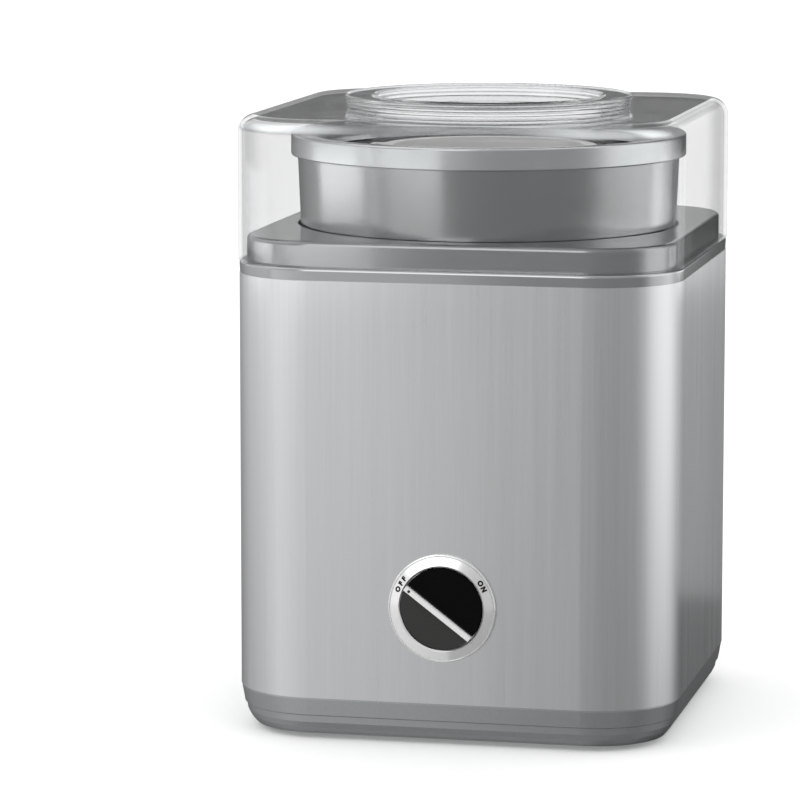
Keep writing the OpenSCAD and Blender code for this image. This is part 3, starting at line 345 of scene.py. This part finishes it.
clear = clear_plastic("clear_sheet", 0.10)
thick = Finish("clear_ring", IOR=1.40, Transmission_Weight=1.0, Specular_IOR_Level=0.5)
waves = thick.noise(thick.place(), 60.0, 1.0)
thick.set("Base Color", thick.blend(waves, rgb(0.84, 0.845, 0.85), rgb(0.90, 0.905, 0.91)))
thick.set("Roughness", 0.02 + 0.04 * waves)
thick.bump(waves, 0.0002, 0.15)
level = thick.axis(thick.place(), 2)
hidden = thick.ramp(level, COLLAR_TOP - COLLAR_BLUR, COLLAR_TOP + COLLAR_BLUR, 0.90, 0.0)
thick.let_through("Is Shadow Ray", 0.96, hidden)
dress(clear, "lid")
dress(thick, "spout_ring")

# %% [markdown]
# ## The bezel, the feet and the inner parts
#
# The bezel is a bright plated piece and the feet are rubber. The inner parts each get the metal
# or plastic that such a part is made of, with a little noise in colour and roughness so that
# none is a flat colour.

# %% Small finishes
def plain(name, low, high, roughness, metallic=0.0, scale=300.0, dent=0.00001):
    """Finish whose colour and gloss wander a little."""
    made = Finish(name, Metallic=metallic)
    grain = made.noise(made.place(), scale, 2.0)
    made.set("Base Color", made.blend(grain, low, high))
    made.set("Roughness", roughness + 0.10 * grain)
    made.bump(grain, dent, 0.3)
    return made


chrome = plain("satin_chrome", grey(0.80), grey(0.87), 0.10, 0.70, 500.0, 0.000004)
rubber = plain("rubber", grey(0.015), grey(0.03), 0.6, 0.0, 1200.0, 0.00004)
dark_plastic = plain("dark_plastic", grey(0.03), grey(0.05), 0.4, 0.0, 900.0, 0.00003)
white_plastic = plain("white_plastic", grey(0.78, 0.01), grey(0.86, 0.01), 0.35, 0.0, 200.0)
zinc = plain("zinc_plate", grey(0.55), grey(0.68, 0.02), 0.3, 1.0, 400.0)
nylon = plain("gear_nylon", rgb(0.80, 0.78, 0.70), rgb(0.88, 0.86, 0.79), 0.45, 0.0, 250.0)
bronze = plain("sintered_bronze", rgb(0.42, 0.27, 0.12), rgb(0.55, 0.37, 0.18), 0.38, 1.0, 1500.0)
laminate = plain("laminated_steel", grey(0.22), grey(0.32, 0.02), 0.4, 1.0, 700.0)
copper = plain("enamelled_copper", rgb(0.42, 0.14, 0.05), rgb(0.58, 0.22, 0.09), 0.3, 1.0, 900.0)
liquid = plain("freezing_liquid", rgb(0.30, 0.52, 0.68), rgb(0.36, 0.58, 0.74), 0.2)
dress(chrome, "dial_bezel")
dress(rubber, "feet", "cord_gland", "bowl_gasket", "shaft_seal")
dress(dark_plastic, "drive_coupling", "bowl_socket", "gearbox_tray", "gearbox_cover", "cooling_fan",
      "switch_body")
dress(white_plastic, "mixing_paddle", "coil_bobbin")
dress(zinc, "coupling_screw", "output_shaft", "output_clip", "motor_shaft", "seam_strip",
      "housing_screws", "gearbox_screws", "gear_pins", "upper_bracket", "lower_bracket",
      "motor_spacers", "motor_screws", "switch_bracket", "switch_nut")
dress(nylon, "output_gear", "second_gear", "first_gear")
dress(bronze, "second_bush", "first_bush", "output_bushes", "motor_bushes", "motor_pinion",
      "switch_spindle")
dress(laminate, "motor_stator", "motor_rotor")
dress(copper, "motor_coil")
dress(liquid, "bowl_coolant")

# %% [markdown]
# ## The dial and its bar
#
# The bar is bright, and the dial is black plastic with a low gloss. The bar's black dot is not a
# piece of its own. It is drawn by the bar's material, which measures how far each point lies
# from the dot's centre. Below the bar the dial's disc is painted lighter than above it, which is a
# painted reflection, and its material measures on which side of the bar a point lies. Both
# materials are fixed to the pieces, so they turn with the dial.

# %% Dial and bar
MM = 0.001
DIAL = Vector((0, -0.1015, 0.0638))
BAR_ANGLE, BAR_OFF = math.radians(143), 2 * MM
DOT_AT, DOT_R, DOT_BLUR = 16 * MM, 0.65 * MM, 0.08 * MM
SHADE_BLUR = 0.5 * MM

bar_metal = Finish("bar_chrome")
grain = bar_metal.noise(bar_metal.place(), 500.0, 2.0)
lengthwise = Vector((math.cos(BAR_ANGLE), 0, math.sin(BAR_ANGLE)))
crosswise = Vector((-math.sin(BAR_ANGLE), 0, math.cos(BAR_ANGLE)))
spot = DIAL + lengthwise * DOT_AT + crosswise * BAR_OFF
here = bar_metal.place(scale=(1, 0, 1), move=(-spot.x, 0, -spot.z))
away = bar_metal.node("ShaderNodeVectorMath", {"operation": "LENGTH"}, {0: here}, out="Value")
inside = bar_metal.ramp(away, DOT_R, DOT_R + DOT_BLUR, 1.0, 0.0)
shine = bar_metal.blend(grain, grey(0.76), grey(0.84))
bar_metal.set("Base Color", bar_metal.blend(inside, shine, grey(0.01)))
bar_metal.set("Metallic", 0.3 - 0.3 * inside)
bar_metal.set("Roughness", 0.22 + 0.08 * grain + 0.2 * inside)
bar_metal.bump(grain, 0.000004, 0.3)
dress(bar_metal, "dial_grip")

dial_black = Finish("dial_black", Specular_IOR_Level=0.03)
grain = dial_black.noise(dial_black.place(), 1500.0, 2.0)
here = dial_black.place(move=-DIAL)
across = dial_black.node("ShaderNodeVectorMath", {"operation": "DOT_PRODUCT"},
                         {0: here, 1: crosswise}, out="Value")
# Lighter below the bar: painted reflection
lower_painted_reflection = 0.9 * dial_black.ramp(across, 0.0, SHADE_BLUR) + 0.1 * grain
dial_black.set("Base Color", dial_black.blend(lower_painted_reflection, grey(0.001), grey(0.042, 0.03)))
dial_black.set("Roughness", 0.28 + 0.10 * grain)
dial_black.bump(grain, 0.00002, 0.3)
dress(dial_black, "dial")

# %% [markdown]
# ## The words on the bezel
#
# OFF and ON are thin raised letters. Each letter is a text object, turned so that it stands on
# the sloping face of the bezel with its top outwards, and then made a mesh. The font's strokes
# are thin, so its outline is swollen a little. A word is given as its letters, each with its
# angle in degrees, and a radius in millimetres.

# %% Words on the bezel
# The bezel's face is a cone: its crest's radius and height, and how it falls outwards
CREST_R, CREST_H = 19.5 * MM, 2.6 * MM
SLOPE = math.atan2(1.2, 3.9)
# Height of a capital, and its share of the font's size
LETTER_H, CAP_SHARE = 2.1 * MM, 0.70
SWELL, BEVEL, DEPTH, LIFT = 0.14 * MM, 0.08 * MM, 0.03 * MM, 0.01 * MM
FORWARDS = Vector((0, -1, 0))

ink = plain("lettering_black", grey(0.005), grey(0.012), 0.45, 0.0, 800.0)
ink.shader.inputs["Specular IOR Level"].default_value = 0.05


def add_letter(letter, angle, radius):
    """One raised letter on the bezel's cone, its top pointing outwards."""
    bpy.ops.object.select_all(action="DESELECT")
    out = Vector((math.cos(angle), 0, math.sin(angle)))
    along = Vector((math.sin(angle), 0, -math.cos(angle)))
    upwards = out * math.cos(SLOPE) - FORWARDS * math.sin(SLOPE)
    facing = along.cross(upwards)
    turned = Matrix((along, upwards, facing)).transposed().to_euler()
    level = CREST_H - (radius - CREST_R) * math.tan(SLOPE)
    place = DIAL + out * radius + FORWARDS * level + facing * LIFT
    bpy.ops.object.text_add(location=place, rotation=turned)
    made = bpy.context.object
    made.data.body = letter
    made.data.size = LETTER_H / CAP_SHARE
    made.data.offset = SWELL
    made.data.bevel_depth = BEVEL
    made.data.bevel_resolution = 0
    made.data.extrude = DEPTH
    made.data.resolution_u = 6
    made.data.align_x = "CENTER"
    made.data.align_y = "CENTER"
    bpy.ops.object.convert(target="MESH")
    bpy.ops.object.transform_apply(location=True, rotation=True, scale=True)
    made = bpy.context.object
    made.data.materials.clear()
    made.data.materials.append(ink.material)
    return made


def add_word(name, letters, radius):
    """Joins the letters into one piece that rides on the base."""
    made = [add_letter(c, math.radians(angle), radius * MM) for c, angle in letters]
    bpy.ops.object.select_all(action="DESELECT")
    for piece in made:
        piece.select_set(True)
    bpy.context.view_layer.objects.active = made[0]
    bpy.ops.object.join()
    made[0].name = name
    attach(made[0], "base")
    print(name, "triangles:", sum(len(p.vertices) - 2 for p in made[0].data.polygons))


add_word("word_off", [("O", 157.4), ("F", 149.6), ("F", 142.6)], 21.3)
add_word("word_on", [("O", 34.6), ("N", 26.6)], 21.5)

# %% [markdown]
# ## The floor
#
# The machine stands on a white floor. To the camera a little of the floor's white is emission,
# so that the shadow stays soft. Reflections see through the floor to the world below it, which
# is shaped for them.

# %% Floor
FLOOR_WIDTH = 12
FLOOR_WHITE, FLOOR_GLOW = 0.93, 0.17


def add_floor():
    bpy.ops.object.select_all(action="DESELECT")
    bpy.ops.mesh.primitive_plane_add(size=FLOOR_WIDTH, location=(0, 0, 0))
    made = bpy.context.object
    made.name = "floor"
    finish = Finish("floor_white", Roughness=0.7)
    finish.shader.inputs["Specular IOR Level"].default_value = 0.0
    finish.set("Base Color", grey(FLOOR_WHITE))
    seen = finish.node("ShaderNodeLightPath", out="Is Camera Ray")
    finish.set("Emission Color", finish.blend(seen, grey(0.0), grey(FLOOR_GLOW)))
    finish.set("Emission Strength", 1.0)
    finish.let_through("Glossy Depth")
    made.data.materials.append(finish.material)
    print(made.name, FLOOR_WIDTH, "m wide")


add_floor()

# %% [markdown]
# ## The surroundings
#
# Metal shows what is around it, so the surroundings matter as much as the lamps. The world is
# plain white to the camera and to matt surfaces. To reflections it is a room: light on the
# left, darker in front, a bright strip on the right, dark on the far right and grey behind.
# ZONES gives its level at each compass angle. Each side also grows darker towards the floor, in
# its own way: AHEAD, RIGHT and BEHIND give a factor at each height, and SIDE and BACK say where
# the second and the third take over. Behind, a bright band stands a little above the horizon.

# %% World
SKY, SEEN_SKY = 1.0, 1.08

world = bpy.data.worlds.new("studio")
world.use_nodes = True
world.cycles.sampling_method = "NONE"
bpy.context.scene.world = world


class Surroundings(Finish):
    """The world's node tree, with the same node method as a material's."""

    def __init__(self, target):
        self.tree = target.node_tree
        self.tree.nodes.clear()


studio = Surroundings(world)
direction = studio.node("ShaderNodeTexCoord", out="Generated")
side, deep, up = (studio.axis(direction, which) for which in range(3))


def profile(stops, value):
    """Grey level that follows a list of places and levels."""
    levels = [(place, grey(level)) for place, level in stops]
    return studio.node("ShaderNodeValToRGB", {"stops": levels}, {0: value})


# Compass angle from behind (0) over the left (0.25), the front (0.5) and the right (0.75)
compass = studio.node("ShaderNodeMath", {"operation": "ARCTAN2"}, {0: side, 1: -1.0 * deep})
turn = 0.5 + compass * (0.5 / math.pi)
ZONES = [(0.00, 0.34), (0.087, 0.30), (0.143, 0.45), (0.193, 0.62), (0.265, 0.74), (0.301, 0.80),
         (0.332, 0.64), (0.373, 0.58), (0.407, 0.52), (0.448, 0.45), (0.50, 0.42), (0.584, 0.38),
         (0.657, 0.38), (0.690, 0.48), (0.715, 0.75), (0.745, 1.35), (0.835, 1.50), (0.865, 1.0),
         (0.905, 0.50), (0.935, 0.12), (0.985, 0.10), (1.00, 0.34)]
zones = profile(ZONES, turn)
# From straight down (0) over the horizon (0.5) to straight up (1)
height = 0.5 + 0.5 * up
AHEAD = [(0.0, 0.60), (0.36, 0.64), (0.39, 0.72), (0.415, 0.95), (0.435, 1.18), (0.46, 1.18),
         (0.60, 1.0), (0.75, 1.9), (1.0, 2.1)]
RIGHT = [(0.0, 0.15), (0.385, 0.15), (0.395, 0.30), (0.405, 0.70), (0.418, 0.95), (0.43, 1.0),
         (0.62, 0.95), (1.0, 1.0)]
BEHIND = [(0.0, 0.45), (0.39, 0.5), (0.414, 0.75), (0.435, 0.95), (0.48, 1.0), (0.525, 1.0),
          (0.533, 0.40), (0.545, 0.42), (0.552, 2.9), (0.62, 2.7), (0.75, 1.2), (1.0, 1.0)]
ahead = profile(AHEAD, height)
right = profile(RIGHT, height)
behind = profile(BEHIND, height)
BACK = [(0.0, 1.0), (0.11, 1.0), (0.16, 0.0), (0.955, 0.0), (0.99, 1.0), (1.0, 1.0)]
SIDE = [(0.0, 0.0), (0.66, 0.0), (0.70, 1.0), (1.0, 1.0)]
back = profile(BACK, turn)
aside = profile(SIDE, turn)
levels = studio.blend(back, studio.blend(aside, ahead, right), behind)
shown = studio.node("ShaderNodeMix", {"data_type": "RGBA", "blend_type": "MULTIPLY"},
                    {0: 1.0, 6: zones, 7: levels}, out=2)
# Mirrored rays see the room. Rays that were bent in the clear ring see the white sky
mirrored = studio.at_most_one(studio.node("ShaderNodeLightPath", out="Glossy Depth"))
bent = studio.at_most_one(studio.node("ShaderNodeLightPath", out="Transmission Depth"))
camera_ray = studio.node("ShaderNodeLightPath", out="Is Camera Ray")
open_sky = studio.blend(camera_ray, grey(SEEN_SKY), grey(SKY))
seen = studio.blend(mirrored * (1.0 - bent), open_sky, shown)
background = studio.node("ShaderNodeBackground", None, {"Color": seen, "Strength": 1.0})
output = studio.tree.nodes.new("ShaderNodeOutputWorld")
studio.tree.links.new(background.socket, output.inputs["Surface"])
print("world nodes:", len(studio.tree.nodes))

# %% [markdown]
# ## The lamps
#
# One large lamp on the left gives the shadow its direction, and the sky gives the rest. The
# world is far away, so a flat face shows one level of it. Cards are small panels near the
# machine. They add light that changes along a face, and only reflections see them. Places, aims
# and sizes are in metres.

# %% Lamps
def add_lamp(name, place, aim, size, power):
    light = bpy.data.lights.new(name, "AREA")
    light.shape = "RECTANGLE"
    light.size, light.size_y = size
    light.energy = power
    lamp = bpy.data.objects.new(name, light)
    bpy.context.scene.collection.objects.link(lamp)
    lamp.location = place
    lamp.rotation_euler = (Vector(aim) - Vector(place)).to_track_quat("-Z", "Y").to_euler()
    return lamp


def add_card(name, place, aim, size, level):
    """Panel that only shiny surfaces see. Its level is its brightness, where 1 is white."""
    card = add_lamp(name, place, aim, size, level * size[0] * size[1] * math.pi)
    card.visible_camera = card.visible_diffuse = card.visible_transmission = False


key = add_lamp("key", (-1.6, -1.6, 1.6), (0, 0, 0.15), (1.2, 1.2), 4)
key.visible_glossy = False
add_card("front_low", (-0.46, -0.46, -0.11), (-0.46, 0, -0.11), (0.80, 0.51), 0.34)
add_card("front_high", (-0.485, -0.46, 0.20), (-0.485, 0, 0.20), (0.74, 0.07), 1.2)
add_card("left_high", (-0.40, -0.06, 0.206), (0, -0.01, 0.206), (0.28, 0.044), 1.6)
add_card("right_high", (0.24, 0.20, 0.205), (0, 0, 0.205), (0.16, 0.07), 0.9)
add_card("right_low", (0.20, 0.17, 0.12), (0.20, 0, 0.12), (0.13, 0.20), 0.26)
add_card("above", (-0.12, -0.65, 0.36), (0, -0.1, 0.064), (0.30, 0.18), 1.2)
print("lamps and cards:", len(bpy.data.lights))
